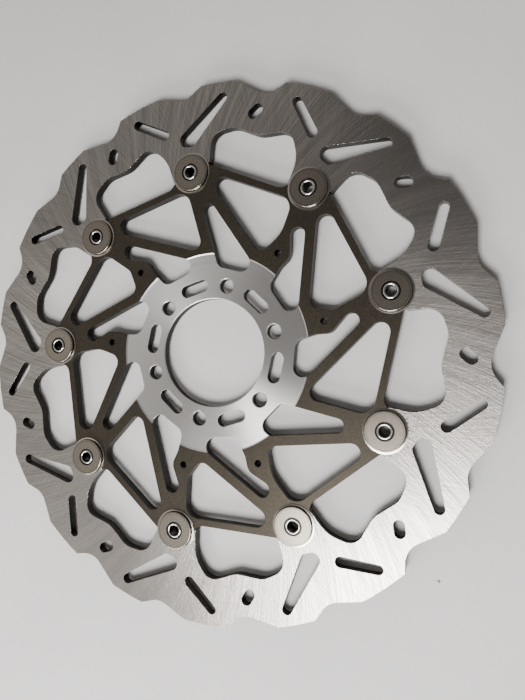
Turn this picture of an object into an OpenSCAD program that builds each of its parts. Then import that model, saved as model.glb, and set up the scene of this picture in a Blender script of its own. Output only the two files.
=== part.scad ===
// Floating brake disc rotor for a motorcycle front wheel.
//
// The origin is on the axis, in the rear face of the hub, which bolts to the wheel.
// +Z runs along the axis to the outer side, and button 1 lies on +X.
//
// Outlines are given in a button's own frame: x across, clockwise positive,
// and y outwards along the radius through the middle of that button.
// A corner is [x, y, radius of its rounding].

/* [Brake disc] */
// Diameter over the lands
disc_d = 320; // [318:1:322]
// Thickness of the friction ring
disc_t = 5.5; // [4.5:0.1:5.6]
// Half width of the lugs that reach in to the buttons
disc_lug_half_w = 12.25; // [11.5:0.05:12.5]

/* [Carrier] */
// Thickness of the plate
carrier_t = 5.8; // [5.7:0.1:7]
// Diameter of the turned hub face
hub_face_d = 118; // [112:1:122]
// Depth of the turned hub face below the plate
hub_face_depth = 0.6; // [0.2:0.1:1.2]
// Depth of the shallow relief behind the spokes, which leaves the hub's rear face proud (guessed)
rear_relief_depth = 0.2; // [0.1:0.05:0.4]
// Outer diameter of that relief, short of the buttons' flanges
rear_relief_d = 190; // [180:1:194]
// Diameter of the tapped holes in the bosses
boss_hole_d = 4.2; // [3:0.1:5]

/* [Wheel hub fixing] */
// Diameter of the centre bore
bore_d = 64; // [58:0.5:65]
// Pitch circle of the bolt holes
bolt_pcd = 80; // [79:0.5:81]
// Diameter of the bolt holes
bolt_d = 8.5; // [6.5:0.1:9]
// Overall length of the slots between the bolt holes
relief_l = 17.9; // [12:0.1:19]
// Width of the slots between the bolt holes
relief_w = 7.4; // [5:0.1:8]

/* [Buttons] */
// Pitch circle of the buttons
button_pcd = 217.5; // [217:0.1:218]
// Diameter of the barrel that drives the disc
barrel_d = 16; // [14:0.5:17]
// Radial clearance of the barrel in its seat
barrel_clearance = 0.08; // [0.02:0.01:0.1]
// Diameter of the rear flange and of the flat washer
flange_d = 22; // [20:0.5:23]
// Thickness of the rear flange
flange_t = 2; // [1.5:0.1:2.5]
// Diameter of the hole through the button
button_bore_d = 6.2; // [5:0.1:6.4]
// Thickness of the flat washer
flat_washer_t = 1.3; // [1.1:0.1:1.6]
// Outer diameter of the disc spring
spring_d = 24.2; // [22.5:0.1:24.4]
// Free height of the disc spring
spring_h = 0.9; // [0.7:0.05:1.1]
// Thickness of the disc spring
spring_t = 0.45; // [0.3:0.05:0.5]

/* [Float] */
// Gap between the disc's lug and the carrier's, measured across the split
split_gap = 0.4; // [0.2:0.05:0.8]
// Tilt of the split between them
split_tilt = 17.5; // [15:0.5:20]
// Axial play of a button on the carrier, each way
button_play = 0.05; // [0.02:0.01:0.1]

/* [Hidden] */
button_count = 9;
bolt_count = 6;
button_pitch = 360 / button_count;
bolt_pitch = 360 / bolt_count;
disc_r = disc_d / 2;
button_r = button_pcd / 2;
bolt_circle_r = bolt_pcd / 2;
// The first bolt hole is in line with the last button
first_bolt_angle = 40;
// Rounded ends are made of straight facets that stray no further than this
arc_error = 0.03;
edge_break = 0.4;
cut_margin = 1;
round_fn = 96;

// --- Heights along the axis ---
flange_top = -button_play;
flange_bottom = flange_top - flange_t;
spring_bottom = carrier_t + button_play;
washer_bottom = spring_bottom + spring_h;
washer_top = washer_bottom + flat_washer_t;

// --- Brake disc outline ---
// Notches in the rim: [angle where it starts, corner, angle where it ends]
rim_notches = [
    [-6.1, [1.45, 153.25, 12.5], 4.5],
    [12.45, [52.65, 141.7, 13], 23.8]
];
// How far a notch's flanks are carried on past the rim
flank_reach = 1.6;
// Scalloped inner edge from one lug to the next
inner_edge_left = [[-27.1, 132, 8.4], [-15.4, 120.3, 20]];
inner_edge_right = [[15.9, 129.3, 9], [31, 129.6, 12], [45.2, 120.6, 15]];
// Slots through the friction ring: the rounded ends, each [x, y, radius]
short_slot = [[-15.3, 136.1, 3.1], [-32.7, 147.1, 2.75]];
long_slot = [[-0.9, 129.7, 4.4], [2, 128, 3.2], [25.4, 149, 2.9]];
oblong_hole = [[42.8, 134.1, 3.1], [46.1, 136.1, 3.1]];

// --- Carrier outline ---
// The foot of the fillet where the tie bar runs into the lug
tie_corner = [-14.2, 101.6, 6];
// A point on the outer edge of the tie bar, and the slope of that edge
tie_point = [13, 110.9];
tie_slope = -29.7;
// Windows to the left of the three kinds of button
window_tip = [-66.6, 88.2, 5.4];
windows = [
    [window_tip, [2.1, 59.5, 5], [-4.3, 99.6, 8]],
    [window_tip, [-5.5, 62.85, 5.5], [-0.6, 79.7, 20], [-4.8, 99.5, 8]],
    [window_tip, [-6.5, 63.3, 5.5], [-0.45, 76.1, 6], [-4.5, 99.5, 8]]
];
// Slots to the right of them: plain, and with a waist round the boss
slot_heel = [36.15, 39.1, 5.5];
plain_slot = [[0.3, 108.6, 4.1], [9.7, 49.95, 6], slot_heel];
waisted_slot = [
    [10.05, 89.7, 4.1], [1.8, 85.45, 4.6], [11.15, 70.9, 7],
    [8.95, 62.7, 15], [8.95, 50.3, 6], slot_heel
];
slots = [plain_slot, waisted_slot, waisted_slot];
boss_hole_r = 69.5;
boss_hole_angle = 3;

// --- Button section ---
lip_r = 0.6;
lip_seat_d = 10.4;
lip_seat_depth = 0.5;
neck_r = button_bore_d / 2 + 0.8;
lip_centre_r = button_bore_d / 2 + lip_r;
rim_round = 0.5;
lead_in = 0.8;
spring_hole_clearance = 0.2;

// --- Colours ---
steel_grey = [0.62, 0.61, 0.59];
anodised_grey = [0.29, 0.27, 0.24];
satin_steel = [0.72, 0.69, 0.62];
bright_steel = [0.82, 0.81, 0.78];
spring_grey = [0.5, 0.49, 0.46];

function numbered(name) = [for (k = [1 : button_count]) str(name, "_", k)];

// ---------------------------------------------------------------- helpers

function unit(v) = v / norm(v);
function flat(corner) = [corner[0], corner[1]];
function direction(angle) = [cos(angle), sin(angle)];
function heading(v) = atan2(v[1], v[0]);
function wrapped(angle) = angle - 360 * floor(angle / 360);

// Facets needed for an arc of this radius and sweep
function arc_steps(r, sweep) =
    max(2, ceil(abs(sweep) / (2 * acos(1 - arc_error / r))));

function arc(centre, r, start, sweep) =
    let (steps = arc_steps(r, sweep))
    [for (i = [0 : steps]) centre + r * direction(start + sweep * i / steps)];

// The rounding of one corner between its two neighbours
function rounding(before, corner, after) =
    let (
        v = flat(corner),
        a = unit(flat(before) - v),
        b = unit(flat(after) - v),
        half = acos(a * b) / 2,
        r = corner[2],
        centre = v + unit(a + b) * r / sin(half),
        start = heading(v + a * r / tan(half) - centre),
        turn = wrapped(heading(v + b * r / tan(half) - centre) - start),
        sweep = turn > 180 ? turn - 360 : turn
    )
    arc(centre, r, start, sweep);

// A closed outline with every corner rounded
function rounded(corners) =
    let (n = len(corners))
    [for (i = [0 : n - 1])
        each corners[i][2] == 0
            ? [flat(corners[i])]
            : rounding(corners[(i + n - 1) % n], corners[i], corners[(i + 1) % n])];

// Direction of the outward normal of the tangent from end p to end q
function belt_normal(p, q) =
    let (run = flat(q) - flat(p))
    heading(run) - 90 + asin((p[2] - q[2]) / norm(run));

// A belt wrapped anticlockwise round two or more rounded ends
function belt(ends) =
    let (n = len(ends))
    [for (i = [0 : n - 1])
        let (
            here = ends[i],
            start = belt_normal(ends[(i + n - 1) % n], here),
            sweep = wrapped(belt_normal(here, ends[(i + 1) % n]) - start)
        )
        each arc(flat(here), here[2], start, sweep)];

// A point of a button's frame, turned clockwise by an angle
function turned(p, angle) =
    [p[0] * cos(angle) + p[1] * sin(angle), p[1] * cos(angle) - p[0] * sin(angle), p[2]];

// Puts a shape drawn in button k's frame in its place
module at_button(k) {
    rotate(-90 - button_pitch * (k - 1)) children();
}

// A radius on the button's own axis, for a section turned into a solid
module at_button_axis(k) {
    at_button(k) translate([0, button_r, 0]) children();
}

// A cone that breaks the upper edge of a round hole
module edge_break_cone(hole_d, top) {
    translate([0, 0, top - edge_break])
        cylinder(
            h = 2 * edge_break,
            d1 = hole_d,
            d2 = hole_d + 4 * edge_break,
            $fn = round_fn
        );
}

// ------------------------------------------------------------- brake disc

// Height of the split line at x, moved outwards by an offset across it
function split_y(x, offset) =
    button_r + x * tan(split_tilt) + offset / cos(split_tilt);

module rim_notch(notch) {
    corner = flat(notch[1]);
    left = corner + flank_reach * (disc_r * direction(90 - notch[0]) - corner);
    right = corner + flank_reach * (disc_r * direction(90 - notch[2]) - corner);
    polygon(rounded([[left[0], left[1], 0], notch[1], [right[0], right[1], 0]]));
}

module inner_edge() {
    // The lug ends are part of the edge, and lie along the split
    lug_end = [
        for (x = [-disc_lug_half_w, disc_lug_half_w]) [x, split_y(x, split_gap / 2), edge_break]
    ];
    // Clockwise round the disc, so each button's corners run from left to right
    polygon(rounded([
        for (k = [0 : button_count - 1])
            for (c = concat(inner_edge_left, lug_end, inner_edge_right)) turned(c, k * button_pitch)
    ]));
}

module disc_outline() {
    difference() {
        circle(r = disc_r, $fn = 4 * round_fn);
        rotate(-90) inner_edge();
        for (k = [1 : button_count]) at_button(k) {
            for (notch = rim_notches) rim_notch(notch);
            polygon(belt(short_slot));
            polygon(belt(long_slot));
            polygon(belt(oblong_hole));
            translate([0, button_r]) circle(d = barrel_d + 2 * barrel_clearance, $fn = round_fn);
        }
    }
}

module brake_disc() {
    color(steel_grey)
        linear_extrude(height = disc_t) disc_outline();
}

// ---------------------------------------------------------------- carrier

module carrier_edge() {
    // The right-hand end of the split lies on the edge of the tie bar
    tie_rise = tan(tie_slope);
    end_x = (tie_point[1] - tie_rise * tie_point[0] - split_y(0, -split_gap / 2))
        / (tan(split_tilt) - tie_rise);
    lug = [
        tie_corner,
        [-disc_lug_half_w, split_y(-disc_lug_half_w, -split_gap / 2), edge_break],
        [end_x, split_y(end_x, -split_gap / 2), edge_break]
    ];
    polygon(rounded([
        for (k = [0 : button_count - 1]) for (c = lug) turned(c, k * button_pitch)
    ]));
}

module hub_holes() {
    circle(d = bore_d, $fn = 2 * round_fn);
    relief_end = (relief_l - relief_w) / 2;
    for (i = [0 : bolt_count - 1]) {
        rotate(first_bolt_angle + i * bolt_pitch)
            translate([bolt_circle_r, 0]) circle(d = bolt_d, $fn = round_fn);
        rotate(first_bolt_angle + (i + 0.5) * bolt_pitch)
            translate([bolt_circle_r, 0])
                polygon(belt([[0, -relief_end, relief_w / 2], [0, relief_end, relief_w / 2]]));
    }
}

module carrier_outline() {
    difference() {
        rotate(-90) carrier_edge();
        hub_holes();
        for (k = [1 : button_count]) at_button(k) {
            kind = (k - 1) % 3;
            polygon(rounded(windows[kind]));
            polygon(rounded(slots[kind]));
            translate([0, button_r]) circle(d = barrel_d + 2 * barrel_clearance, $fn = round_fn);
            if (kind > 0)
                rotate(-boss_hole_angle)
                    translate([0, boss_hole_r]) circle(d = boss_hole_d, $fn = round_fn);
        }
    }
}

// The turned hub face is sunk below the plate, with a sloping shoulder
module hub_face_cut() {
    translate([0, 0, carrier_t - hub_face_depth])
        cylinder(
            h = 2 * hub_face_depth,
            d1 = hub_face_d - 2 * hub_face_depth,
            d2 = hub_face_d + 2 * hub_face_depth,
            $fn = 2 * round_fn
        );
}

// The spokes' rear is sunk between the hub's face and the buttons' seats
module rear_relief_cut() {
    rotate_extrude($fn = 2 * round_fn)
        translate([hub_face_d / 2, -cut_margin])
            square([(rear_relief_d - hub_face_d) / 2, cut_margin + rear_relief_depth]);
}

module carrier() {
    color(anodised_grey)
        difference() {
            linear_extrude(height = carrier_t) carrier_outline();
            hub_face_cut();
            rear_relief_cut();
            edge_break_cone(bore_d, carrier_t - hub_face_depth);
            for (i = [0 : bolt_count - 1])
                rotate(first_bolt_angle + i * bolt_pitch)
                    translate([bolt_circle_r, 0, 0])
                        edge_break_cone(bolt_d, carrier_t - hub_face_depth);
        }
}

// ---------------------------------------------------------------- buttons

// Half section of a flat ring with rounded outer corners
module ring_section(r_in, r_out, z_low, z_high, round_r) {
    translate([r_in, z_low]) square([r_out - round_r - r_in, z_high - z_low]);
    translate([r_in, z_low + round_r])
        square([r_out - r_in, z_high - z_low - 2 * round_r]);
    for (z = [z_low + round_r, z_high - round_r])
        translate([r_out - round_r, z]) circle(r = round_r, $fn = round_fn);
}

// Half section of the hollow rivet: flange, barrel, neck and rolled lip
module bobbin_section() {
    bore_r = button_bore_d / 2;
    seat = washer_top - lip_seat_depth;
    difference() {
        union() {
            ring_section(bore_r, flange_d / 2, flange_bottom, flange_top, rim_round);
            translate([bore_r, flange_top - rim_round])
                square([barrel_d / 2 - bore_r, washer_bottom - flange_top + rim_round]);
            translate([bore_r, washer_bottom - rim_round])
                square([neck_r - bore_r, seat - washer_bottom + rim_round]);
            intersection() {
                translate([lip_centre_r, seat]) circle(r = lip_r, $fn = round_fn);
                translate([bore_r, seat]) square([2 * lip_r, lip_r]);
            }
        }
        polygon([
            [bore_r - cut_margin, flange_bottom - cut_margin],
            [bore_r + lead_in + cut_margin, flange_bottom - cut_margin],
            [bore_r, flange_bottom + lead_in],
            [bore_r - cut_margin, flange_bottom + lead_in]
        ]);
    }
}

module bobbin(k) {
    color(bright_steel)
        at_button_axis(k) rotate_extrude($fn = round_fn) bobbin_section();
}

// Shallow cone whose rim lies on the plates and whose top edge meets the washer
module spring_washer(k) {
    r_in = barrel_d / 2 + spring_hole_clearance;
    r_out = spring_d / 2;
    color(spring_grey)
        at_button_axis(k)
            rotate_extrude($fn = round_fn)
                polygon([
                    [r_in, washer_bottom - spring_t],
                    [r_out, spring_bottom],
                    [r_out, spring_bottom + spring_t],
                    [r_in, washer_bottom]
                ]);
}

module flat_washer(k) {
    color(satin_steel)
        at_button_axis(k)
            rotate_extrude($fn = round_fn)
                difference() {
                    ring_section(neck_r, flange_d / 2, washer_bottom, washer_top, rim_round);
                    translate([neck_r - cut_margin, washer_top - lip_seat_depth])
                        square([lip_seat_d / 2 - neck_r + cut_margin, cut_margin]);
                }
}

brake_disc();
carrier();
for (k = [1 : button_count]) {
    bobbin(k);
    spring_washer(k);
    flat_washer(k);
}
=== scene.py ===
import math

import bpy
from mathutils import Matrix, Vector


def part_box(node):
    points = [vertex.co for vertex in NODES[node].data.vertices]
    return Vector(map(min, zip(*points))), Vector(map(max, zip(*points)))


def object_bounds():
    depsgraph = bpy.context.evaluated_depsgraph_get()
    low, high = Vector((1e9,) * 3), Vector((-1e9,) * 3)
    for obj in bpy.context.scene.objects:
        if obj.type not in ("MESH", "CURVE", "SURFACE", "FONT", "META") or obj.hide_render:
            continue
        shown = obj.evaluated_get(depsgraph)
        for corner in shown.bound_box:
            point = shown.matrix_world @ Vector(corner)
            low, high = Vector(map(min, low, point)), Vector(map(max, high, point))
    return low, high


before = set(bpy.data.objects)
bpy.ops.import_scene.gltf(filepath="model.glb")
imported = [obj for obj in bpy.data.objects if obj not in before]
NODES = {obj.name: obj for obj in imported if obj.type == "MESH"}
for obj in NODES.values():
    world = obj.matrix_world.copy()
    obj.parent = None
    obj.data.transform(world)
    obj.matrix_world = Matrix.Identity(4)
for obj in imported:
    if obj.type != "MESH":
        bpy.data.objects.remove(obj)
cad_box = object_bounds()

MM = 0.001
BUTTON_COUNT = 9

# The photograph's viewing angle, as the camera's place and its axes in the part's frame.
CAMERA_AT = (0.130674, 0.050707, 0.312323)
CAMERA_RIGHT = (0.86955083, 0.36353859, -0.33424698)
CAMERA_UP = (-0.38083922, 0.92452311, 0.01478181)
CAMERA_BACK = (0.31439282, 0.11444083, 0.94236959)
CAMERA_LENS = 29.28
SENSOR = 36.0
CLIP_START = 0.01
CLIP_END = 20.0

# The stage. The world fades from one glow to the other between two heights on a unit sphere.
FLOOR_REACH = 5.0
ROOM_COLOUR = (1.0, 0.96, 0.93, 1.0)
HORIZON_GLOW = 0.55
OVERHEAD_GLOW = 0.10
FADE_HEIGHTS = (0.15, 0.60)

# The disc and the carrier: radii about the rotor's axis and heights above the hub's rear face.
RING_R = 140 * MM
HUB_FACE_R = 59 * MM
HUB_FACE_FADE = 0.1 * MM
FRONT_HEIGHTS = (4.5 * MM, 4.8 * MM)
REAR_HEIGHTS = (0.05 * MM, 0.15 * MM)
DISC_EDGE_SOFT = 0.12 * MM
CARRIER_EDGE_SOFT = 0.22 * MM

# The buttons: radii about each button's own axis. Inside the bore, recess and gap radii a piece's colour
# is darkened as painted shade, fading in over the given width.
BORE_SHADE_R = 3.15 * MM
RECESS_SHADE_R = 5.1 * MM
GAP_SHADE_R = 11.2 * MM
# The flat washer gets a thin dark line of painted shade at this radius, this wide:
GROOVE_SHADE_R = 9.9 * MM
GROOVE_SHADE_W = 0.3 * MM
INNER_SHADE_FADE = 0.2 * MM

# Colours: the metals, on their faces and in the cut walls, then the floor's board and specks. The
# near-black wall colours are painted shade.
GROUND_STEEL = (0.45, 0.42, 0.395)
GROUND_WALL_SHADE = (0.022, 0.020, 0.018)
COAT = (0.051, 0.0425, 0.031)
COAT_WALL_SHADE = (0.007, 0.006, 0.005)
BARE_ALUMINIUM = (0.90, 0.885, 0.87)
BUTTON_STEEL = (0.86, 0.84, 0.80)
SPRING_STEEL = (0.62, 0.59, 0.53)
WASHER_STEEL = (0.33, 0.295, 0.25)
BOARD = (0.80, 0.785, 0.78)
SPECK = (0.22, 0.20, 0.18, 1.0)

# Where a value fades from 0 to 1: how far a surface faces along the axis, or a noise's usual span.
FLAT_FACE = (0.5, 0.9)
TURNED_FACE = (0.35, 0.6)
RING_FACE = (0.93, 0.99)
NOISE_SPAN = (0.3, 0.7)
MARKS_SPAN = (0.38, 0.62)
SPECK_SPAN = (0.80, 0.84)


# ---- node helpers ----


class Graph:
    """A material's nodes, made and joined in one call each."""

    def __init__(self, name):
        self.material = bpy.data.materials.new(name)
        self.material.use_nodes = True
        self.tree = self.material.node_tree
        self.shader = self.tree.nodes["Principled BSDF"]

    def put(self, target, value):
        if isinstance(value, bpy.types.NodeSocket):
            self.tree.links.new(value, target)
        else:
            target.default_value = value

    def surface(self, name, value):
        """Sets one of the shader's inputs to a value, or joins a socket to it."""
        self.put(self.shader.inputs[name], value)

    def math(self, operation, a, b=0.0):
        node = self.tree.nodes.new("ShaderNodeMath")
        node.operation = operation
        for socket, value in zip(node.inputs, (a, b)):
            self.put(socket, value)
        return node.outputs[0]

    def times(self, a, b):
        return self.math("MULTIPLY", a, b)

    def plus(self, a, b):
        return self.math("ADD", a, b)

    def minus(self, a, b):
        return self.math("SUBTRACT", a, b)

    def vector(self, x, y, z):
        node = self.tree.nodes.new("ShaderNodeCombineXYZ")
        for socket, value in zip(node.inputs, (x, y, z)):
            self.put(socket, value)
        return node.outputs[0]

    def point(self):
        """The shaded point in the part's frame, in metres, as three sockets."""
        coords = self.tree.nodes.new("ShaderNodeTexCoord")
        split = self.tree.nodes.new("ShaderNodeSeparateXYZ")
        self.tree.links.new(coords.outputs["Object"], split.inputs[0])
        return split.outputs[0], split.outputs[1], split.outputs[2]

    def facing(self):
        """How far the surface faces along the rotor's axis: 1 on a flat face, 0 on a wall."""
        coords = self.tree.nodes.new("ShaderNodeTexCoord")
        split = self.tree.nodes.new("ShaderNodeSeparateXYZ")
        self.tree.links.new(coords.outputs["Normal"], split.inputs[0])
        return self.math("ABSOLUTE", split.outputs[2])

    def noise(self, place, scale, detail=2.0, roughness=0.5):
        node = self.tree.nodes.new("ShaderNodeTexNoise")
        self.put(node.inputs["Vector"], place)
        node.inputs["Scale"].default_value = scale
        node.inputs["Detail"].default_value = detail
        node.inputs["Roughness"].default_value = roughness
        return node.outputs["Fac"]

    def ramp(self, value, low, high, from_low=0.0, from_high=1.0):
        node = self.tree.nodes.new("ShaderNodeMapRange")
        node.interpolation_type = "SMOOTHSTEP"
        self.put(node.inputs["Value"], value)
        node.inputs["From Min"].default_value = from_low
        node.inputs["From Max"].default_value = from_high
        node.inputs["To Min"].default_value = low
        node.inputs["To Max"].default_value = high
        return node.outputs["Result"]

    def spread(self, noise, low, high):
        """A noise over its usual span, as a value from low to high."""
        return self.ramp(noise, low, high, *NOISE_SPAN)

    def mix(self, factor, a, b):
        node = self.tree.nodes.new("ShaderNodeMix")
        node.data_type = "RGBA"
        self.put(node.inputs["Factor"], factor)
        self.put(node.inputs["A"], a)
        self.put(node.inputs["B"], b)
        return node.outputs["Result"]

    def scaled(self, colour, factor):
        node = self.tree.nodes.new("ShaderNodeVectorMath")
        node.operation = "SCALE"
        self.put(node.inputs[0], colour)
        self.put(node.inputs["Scale"], factor)
        return node.outputs[0]

    def soft_edge(self, radius):
        node = self.tree.nodes.new("ShaderNodeBevel")
        node.samples = 4
        node.inputs["Radius"].default_value = radius
        return node.outputs[0]

    def bump(self, height, distance, normal=None):
        node = self.tree.nodes.new("ShaderNodeBump")
        node.inputs["Distance"].default_value = distance
        self.put(node.inputs["Height"], height)
        if normal is not None:
            self.put(node.inputs["Normal"], normal)
        return node.outputs[0]

    def tangent(self, x, y, turn=0.0):
        """The direction round the axis, turned by an angle towards the radius."""
        c = math.cos(turn)
        s = math.sin(turn)
        along_x = self.minus(self.times(x, s), self.times(y, c))
        along_y = self.plus(self.times(x, c), self.times(y, s))
        turned = self.tree.nodes.new("ShaderNodeVectorTransform")
        turned.vector_type = "VECTOR"
        turned.convert_from = "OBJECT"
        turned.convert_to = "WORLD"
        self.put(turned.inputs[0], self.vector(along_x, along_y, 0.0))
        unit = self.tree.nodes.new("ShaderNodeVectorMath")
        unit.operation = "NORMALIZE"
        self.put(unit.inputs[0], turned.outputs[0])
        return unit.outputs[0]


def polar(graph, x, y):
    """Radius and angle about the rotor's axis."""
    squares = graph.plus(graph.times(x, x), graph.times(y, y))
    return graph.math("SQRT", squares), graph.math("ARCTAN2", y, x)


def streaks(graph, r, angle, lean, width, length, offset, detail):
    """Noise drawn out along lines that cross the ring at a slant, width wide and length long."""
    slant = graph.times(graph.minus(r, RING_R), lean)
    phi = graph.plus(angle, slant)
    across = RING_R / width
    place = graph.vector(
        graph.times(graph.math("COSINE", phi), across),
        graph.times(graph.math("SINE", phi), across),
        graph.plus(graph.times(r, 1 / length), offset),
    )
    return graph.noise(place, 1.0, detail, roughness=0.6)


def turned_lines(graph, r, angle, per_metre, per_radian, detail, roughness):
    """Noise drawn out round an axis, as a lathe leaves it."""
    place = graph.vector(graph.times(r, per_metre), graph.times(angle, per_radian), 0.0)
    return graph.noise(place, 1.0, detail, roughness)


# ---- materials ----


def ground_steel():
    """Stainless steel ground on a rotary table: fine arcs that cross, radial overall. Its cut walls get a
    near-black colour as painted shade.
    """
    g = Graph("ground_steel")
    x, y, z = g.point()
    r, angle = polar(g, x, y)
    flat = g.ramp(g.facing(), 0.0, 1.0, *FLAT_FACE)
    main = streaks(g, r, angle, lean=2.6, width=0.8 * MM, length=40 * MM, offset=0.0, detail=1.5)
    crossing = streaks(g, r, angle, lean=-2.2, width=0.8 * MM, length=30 * MM, offset=7.3, detail=1.0)
    fine = streaks(g, r, angle, lean=1.4, width=0.4 * MM, length=16 * MM, offset=3.1, detail=2.0)
    bands = streaks(g, r, angle, lean=2.6, width=7 * MM, length=80 * MM, offset=5.0, detail=2.0)
    marks = g.plus(g.times(main, 0.5), g.times(crossing, 0.22))
    marks = g.plus(marks, g.times(fine, 0.28))
    banded = g.times(g.ramp(marks, 0.79, 1.16, *MARKS_SPAN), g.spread(bands, 0.92, 1.08))
    face = g.scaled(GROUND_STEEL, banded)
    mottle = g.noise(g.vector(x, y, z), 900.0)
    # The cut walls get a near-black mottled colour: painted shade.
    wall = g.scaled(GROUND_WALL_SHADE, g.ramp(mottle, 0.7, 1.3))
    polish = g.ramp(marks, 0.29, 0.21, *MARKS_SPAN)
    wall_dulling = g.times(g.minus(1.0, flat), 0.12)
    height = g.times(marks, flat)
    g.surface("Base Color", g.mix(flat, wall, face))
    g.surface("Metallic", 1.0)
    g.surface("Roughness", g.plus(polish, wall_dulling))
    g.surface("Anisotropic", 0.65)
    g.surface("Tangent", g.tangent(x, y, math.radians(15)))
    g.surface("Normal", g.bump(height, 0.11 * MM, g.soft_edge(DISC_EDGE_SOFT)))
    return g.material


def bare_hub(g, r, z, facing):
    """1 on the turned faces round the bore, front and rear, and 0 elsewhere."""
    front = g.ramp(z, 0.0, 1.0, *FRONT_HEIGHTS)
    rear = g.ramp(z, 1.0, 0.0, *REAR_HEIGHTS)
    inside = g.ramp(r, 1.0, 0.0, HUB_FACE_R - HUB_FACE_FADE, HUB_FACE_R + HUB_FACE_FADE)
    at_hub = g.times(g.math("MAXIMUM", front, rear), inside)
    return g.times(at_hub, g.ramp(facing, 0.0, 1.0, *TURNED_FACE))


def anodised_carrier():
    """Grey-brown hard anodised aluminium, with a bare turned face round the bore. Its cut walls get a
    near-black colour as painted shade.
    """
    g = Graph("anodised_aluminium")
    x, y, z = g.point()
    r, angle = polar(g, x, y)
    place = g.vector(x, y, z)
    facing = g.facing()
    flat = g.ramp(facing, 0.0, 1.0, *FLAT_FACE)
    bare = bare_hub(g, r, z, facing)
    turned = turned_lines(g, r, angle, per_metre=2200.0, per_radian=0.35, detail=3.0, roughness=0.7)
    grain = g.noise(place, 1500.0, 3.0, 0.6)
    cloud = g.noise(place, 22.0, 4.0, 0.6)
    tone = g.times(g.spread(grain, 0.72, 1.28), g.spread(cloud, 0.90, 1.10))
    # The cut walls get a near-black colour: painted shade.
    coated = g.mix(flat, g.scaled(COAT_WALL_SHADE, tone), g.scaled(COAT, tone))
    metal = g.scaled(BARE_ALUMINIUM, g.spread(turned, 0.98, 1.02))
    dull = g.times(g.spread(grain, 0.36, 0.46), g.minus(1.0, bare))
    bright = g.times(g.spread(turned, 0.28, 0.32), bare)
    lines = g.times(turned, g.times(bare, 0.08))
    height = g.plus(lines, g.times(grain, 0.5))
    g.surface("Base Color", g.mix(bare, coated, metal))
    g.surface("Metallic", g.ramp(bare, 0.7, 1.0))
    g.surface("Roughness", g.plus(bright, dull))
    g.surface("Anisotropic", g.times(bare, 0.75))
    g.surface("Tangent", g.tangent(x, y, math.radians(90)))
    g.surface("Normal", g.bump(height, 0.03 * MM, g.soft_edge(CARRIER_EDGE_SOFT)))
    return g.material


def turned_steel(name, node, colour, rough, shade_inside_r, groove_shade_r=0.0):
    """Small steel ring: satin flat faces, polished rounded edges and faint lines round its own axis.

    Inside one radius its colour is darkened as painted shade. A thin dark line of painted shade runs
    round it at the groove radius, or nowhere at 0.
    """
    g = Graph(name)
    edge_rough = 0.14
    low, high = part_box(node)
    middle = (low + high) / 2
    x, y, z = g.point()
    r, angle = polar(g, g.minus(x, middle.x), g.minus(y, middle.y))
    face = g.ramp(g.facing(), 0.0, 1.0, *RING_FACE)
    rings = turned_lines(g, r, angle, per_metre=4200.0, per_radian=0.6, detail=2.0, roughness=0.5)
    grain = g.noise(g.vector(x, y, z), 2600.0, 2.0, 0.6)
    tone = g.times(g.spread(grain, 0.90, 1.08), g.spread(rings, 0.95, 1.04))
    # Painted shade: the colour falls to a tenth inside the given radius, in the bore, the recess, or the
    # gap under the flat washer's edge.
    painted_inner_shade = g.ramp(r, 0.10, 1.0, shade_inside_r, shade_inside_r + INNER_SHADE_FADE)
    # Painted shade: a thin dark line round the axis at the given radius.
    from_groove = g.math("ABSOLUTE", g.minus(r, groove_shade_r))
    groove = g.ramp(from_groove, 0.45, 1.0, 0.0, GROOVE_SHADE_W)
    shade = g.times(g.times(tone, painted_inner_shade), groove)
    satin = g.plus(g.times(face, rough - edge_rough), edge_rough)
    g.surface("Base Color", g.scaled(colour, shade))
    g.surface("Metallic", 1.0)
    g.surface("Roughness", g.times(satin, g.spread(grain, 0.92, 1.08)))
    g.surface("Normal", g.bump(g.times(rings, face), 0.004 * MM))
    return g.material


def pale_floor():
    """Matte warm-grey board with a faint mottle and a few dark specks."""
    g = Graph("pale_floor")
    x, y, z = g.point()
    place = g.vector(x, y, z)
    mottle = g.noise(place, 7.0, 4.0)
    fibre = g.noise(place, 700.0, 2.0)
    spots = g.noise(place, 120.0, 1.0)
    specks = g.ramp(spots, 0.0, 1.0, *SPECK_SPAN)
    tone = g.times(g.spread(mottle, 0.955, 1.03), g.spread(fibre, 0.985, 1.015))
    g.surface("Base Color", g.mix(specks, g.scaled(BOARD, tone), SPECK))
    g.surface("Roughness", g.ramp(mottle, 0.55, 0.65))
    g.surface("Specular IOR Level", 0.3)
    g.surface("Normal", g.bump(fibre, 0.02 * MM))
    return g.material


# ---- the rotor's pieces ----


def finish_node(name, material):
    node = NODES[name]
    node.data.materials.clear()
    node.data.materials.append(material)


def finish_button(k):
    """The three turned pieces of one drive button."""
    bobbin = f"bobbin_{k}"
    spring = f"spring_washer_{k}"
    washer = f"flat_washer_{k}"
    # Each piece is darkened inside its radius as painted shade: in the bore, in the recess, and on the
    # spring washer under the flat washer's edge.
    finish_node(bobbin, turned_steel(f"button_steel_{k}", bobbin, BUTTON_STEEL, 0.20, BORE_SHADE_R))
    finish_node(spring, turned_steel(f"spring_steel_{k}", spring, SPRING_STEEL, 0.20, GAP_SHADE_R))
    finish_node(washer, turned_steel(f"washer_steel_{k}", washer, WASHER_STEEL, 0.28, RECESS_SHADE_R, GROOVE_SHADE_R))


def finish_rotor():
    finish_node("brake_disc", ground_steel())
    finish_node("carrier", anodised_carrier())
    for k in range(1, BUTTON_COUNT + 1):
        finish_button(k)


# ---- the stage ----


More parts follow.
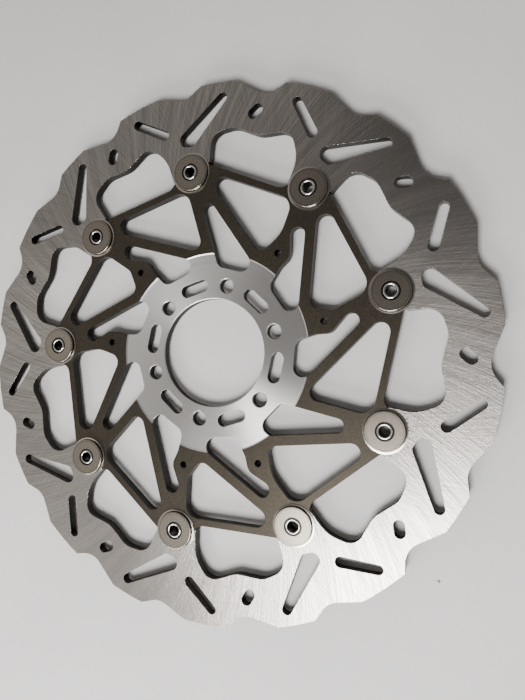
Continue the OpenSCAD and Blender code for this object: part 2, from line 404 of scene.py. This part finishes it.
def make_floor(z):
    """One flat sheet under the rotor, far wider than the view."""
    mesh = bpy.data.meshes.new("floor")
    reach = FLOOR_REACH
    corners = [(-reach, -reach, z), (reach, -reach, z), (reach, reach, z), (-reach, reach, z)]
    mesh.from_pydata(corners, [], [(0, 1, 2, 3)])
    mesh.materials.append(pale_floor())
    floor = bpy.data.objects.new("floor", mesh)
    bpy.context.scene.collection.objects.link(floor)


def make_light(name, place, aim, size, power, colour):
    """A soft rectangular light at a place, turned to face a point. Size is width and height."""
    data = bpy.data.lights.new(name, "AREA")
    data.shape = "RECTANGLE"
    data.size = size[0]
    data.size_y = size[1]
    data.energy = power
    data.color = colour
    light = bpy.data.objects.new(name, data)
    light.location = place
    light.rotation_mode = "QUATERNION"
    light.rotation_quaternion = (Vector(aim) - Vector(place)).to_track_quat("-Z", "Y")
    bpy.context.scene.collection.objects.link(light)


def make_lights():
    make_light(
        "key_panel",
        place=(0.20, -0.47, 0.86),
        aim=(0.05, -0.10, 0),
        size=(0.38, 0.40),
        power=11.0,
        colour=(1.0, 0.985, 0.97),
    )
    make_light(
        "side_glow",
        place=(-1.2, -1.3, 1.3),
        aim=(0, 0, 0),
        size=(2.0, 2.0),
        power=6.0,
        colour=(1.0, 0.97, 0.92),
    )
    make_light(
        "far_glow",
        place=(-1.7, 0.35, 1.7),
        aim=(0, 0, 0),
        size=(2.0, 2.0),
        power=3.4,
        colour=(1.0, 0.96, 0.92),
    )
    make_light(
        "low_fill",
        place=(0.05, -0.80, 0.38),
        aim=(0.05, -0.25, 0),
        size=(0.6, 0.3),
        power=6.0,
        colour=(1.0, 0.98, 0.97),
    )


def make_world():
    """A dim room: paler near the horizon, darker overhead."""
    world = bpy.data.worlds.new("room")
    world.use_nodes = True
    nodes = world.node_tree.nodes
    links = world.node_tree.links
    background = nodes["Background"]
    background.inputs["Color"].default_value = ROOM_COLOUR
    coords = nodes.new("ShaderNodeTexCoord")
    split = nodes.new("ShaderNodeSeparateXYZ")
    fade = nodes.new("ShaderNodeMapRange")
    fade.interpolation_type = "SMOOTHSTEP"
    fade.inputs["From Min"].default_value = FADE_HEIGHTS[0]
    fade.inputs["From Max"].default_value = FADE_HEIGHTS[1]
    fade.inputs["To Min"].default_value = HORIZON_GLOW
    fade.inputs["To Max"].default_value = OVERHEAD_GLOW
    links.new(coords.outputs["Generated"], split.inputs[0])
    links.new(split.outputs["Z"], fade.inputs["Value"])
    links.new(fade.outputs["Result"], background.inputs["Strength"])
    bpy.context.scene.world = world


def make_camera():
    data = bpy.data.cameras.new("camera")
    data.sensor_width = SENSOR
    data.lens = CAMERA_LENS
    data.clip_start = CLIP_START
    data.clip_end = CLIP_END
    camera = bpy.data.objects.new("camera", data)
    turn = Matrix((CAMERA_RIGHT, CAMERA_UP, CAMERA_BACK)).transposed()
    camera.matrix_world = Matrix.Translation(CAMERA_AT) @ turn.to_4x4()
    bpy.context.scene.collection.objects.link(camera)
    bpy.context.scene.camera = camera


make_camera()
make_floor(cad_box[0].z)
make_lights()
make_world()
finish_rotor()
